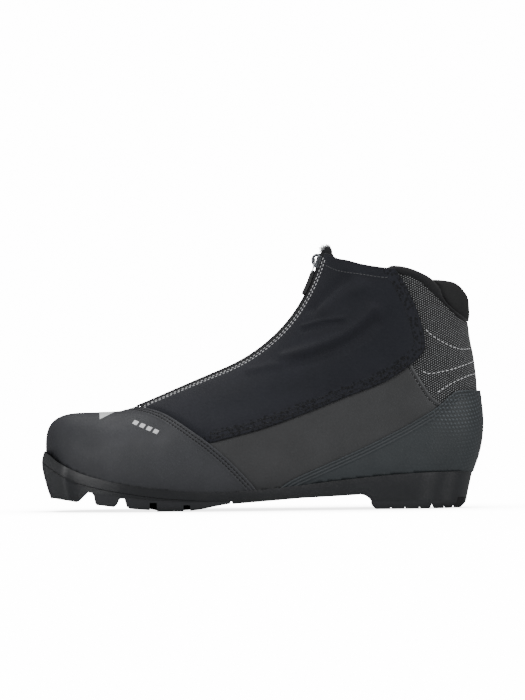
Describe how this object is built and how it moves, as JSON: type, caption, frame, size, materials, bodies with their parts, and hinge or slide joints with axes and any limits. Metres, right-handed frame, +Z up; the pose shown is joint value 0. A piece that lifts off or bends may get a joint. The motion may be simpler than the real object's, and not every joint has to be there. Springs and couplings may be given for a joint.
{
  "type": "cross-country ski boot",
  "caption": "Left cross-country ski boot with a zipped lace cover, ankle cuff, padded collar and a toe-bar sole with binding channels.",
  "frame": {"origin": "on the ground under the middle of the boot's bounding box", "axes": "+X towards the heel, +Y towards the inner side of the foot, +Z up"},
  "size_m": [0.3006, 0.0953, 0.1787],
  "materials": {
    "sole_plastic": "dark thermoplastic, semi-matt with fine moulding grain",
    "tread_rubber": "matt moulded rubber",
    "steel_bar": "polished steel bar",
    "shank_steel": "spring steel strip",
    "fibre_board": "pressed cellulose board",
    "footbed_foam": "felt over foam",
    "toe_leather": "coated leather with fine grain",
    "vamp_fabric": "woven backing fabric",
    "stiffener_sheet": "thermoformed sheet",
    "quarter_leather": "coated leather with fine grain",
    "counter_leather": "coated leather, embossed",
    "ballistic_mesh": "coarse two-tone basket weave",
    "collar_fabric": "smooth stretch fabric",
    "pad_fabric": "stretch fabric over foam",
    "lining_fleece": "brushed fleece",
    "tongue_fabric": "fabric over foam",
    "eyestay_webbing": "webbing strip with lace loops",
    "softshell": "bonded softshell with soft folds",
    "zip_tape": "woven tape",
    "zip_coil": "nylon coil",
    "slider_metal": "polished die-cast",
    "link_metal": "polished wire link",
    "tab_rubber": "moulded rubber"
  },
  "bodies": {
    "boot": {"outsole": "sole_plastic", "tread_forefoot_lateral": "tread_rubber", "tread_forefoot_centre": "tread_rubber", "tread_forefoot_medial": "tread_rubber", "tread_heel_lateral": "tread_rubber", "tread_heel_centre": "tread_rubber", "tread_heel_medial": "tread_rubber", "toe_bar": "steel_bar", "shank": "shank_steel", "insole_board": "fibre_board", "footbed": "footbed_foam", "toe_cap": "toe_leather", "vamp": "vamp_fabric", "toe_puff": "stiffener_sheet", "quarter_lateral": "quarter_leather", "quarter_medial": "quarter_leather", "heel_counter": "counter_leather", "counter_stiffener": "stiffener_sheet", "cuff_mesh": "ballistic_mesh", "collar_binding": "collar_fabric", "achilles_pad": "pad_fabric", "lining": "lining_fleece", "tongue": "tongue_fabric", "eyestay_lateral": "eyestay_webbing", "eyestay_medial": "eyestay_webbing", "cover_lateral": "softshell", "cover_medial": "softshell", "zip_tape_lateral": "zip_tape", "zip_tape_medial": "zip_tape", "zip_chain_lateral": "zip_coil", "zip_chain_medial": "zip_coil", "zip_bottom_stop": "zip_tape", "zip_end_fold": "zip_tape"},
    "slider": {"zip_slider": "slider_metal"},
    "link": {"pull_link": "link_metal"},
    "tab": {"pull_tab": "tab_rubber"}
  },
  "joints": [
    {"name": "zip_travel", "type": "hinge", "parent": "boot", "child": "slider", "pos_m": [-0.0731, 0, 0.2041], "axis": [0, 1, 0], "range_deg": [0, 46]},
    {"name": "link_hinge", "type": "hinge", "parent": "slider", "child": "link", "pos_m": [0.0366, 0, 0.16993], "axis": [0, 1, 0], "range_deg": [0, 120]},
    {"name": "tab_hinge", "type": "hinge", "parent": "link", "child": "tab", "pos_m": [0.0346, 0, 0.16044], "axis": [0, 1, 0], "range_deg": [0, 90]}
  ]
}
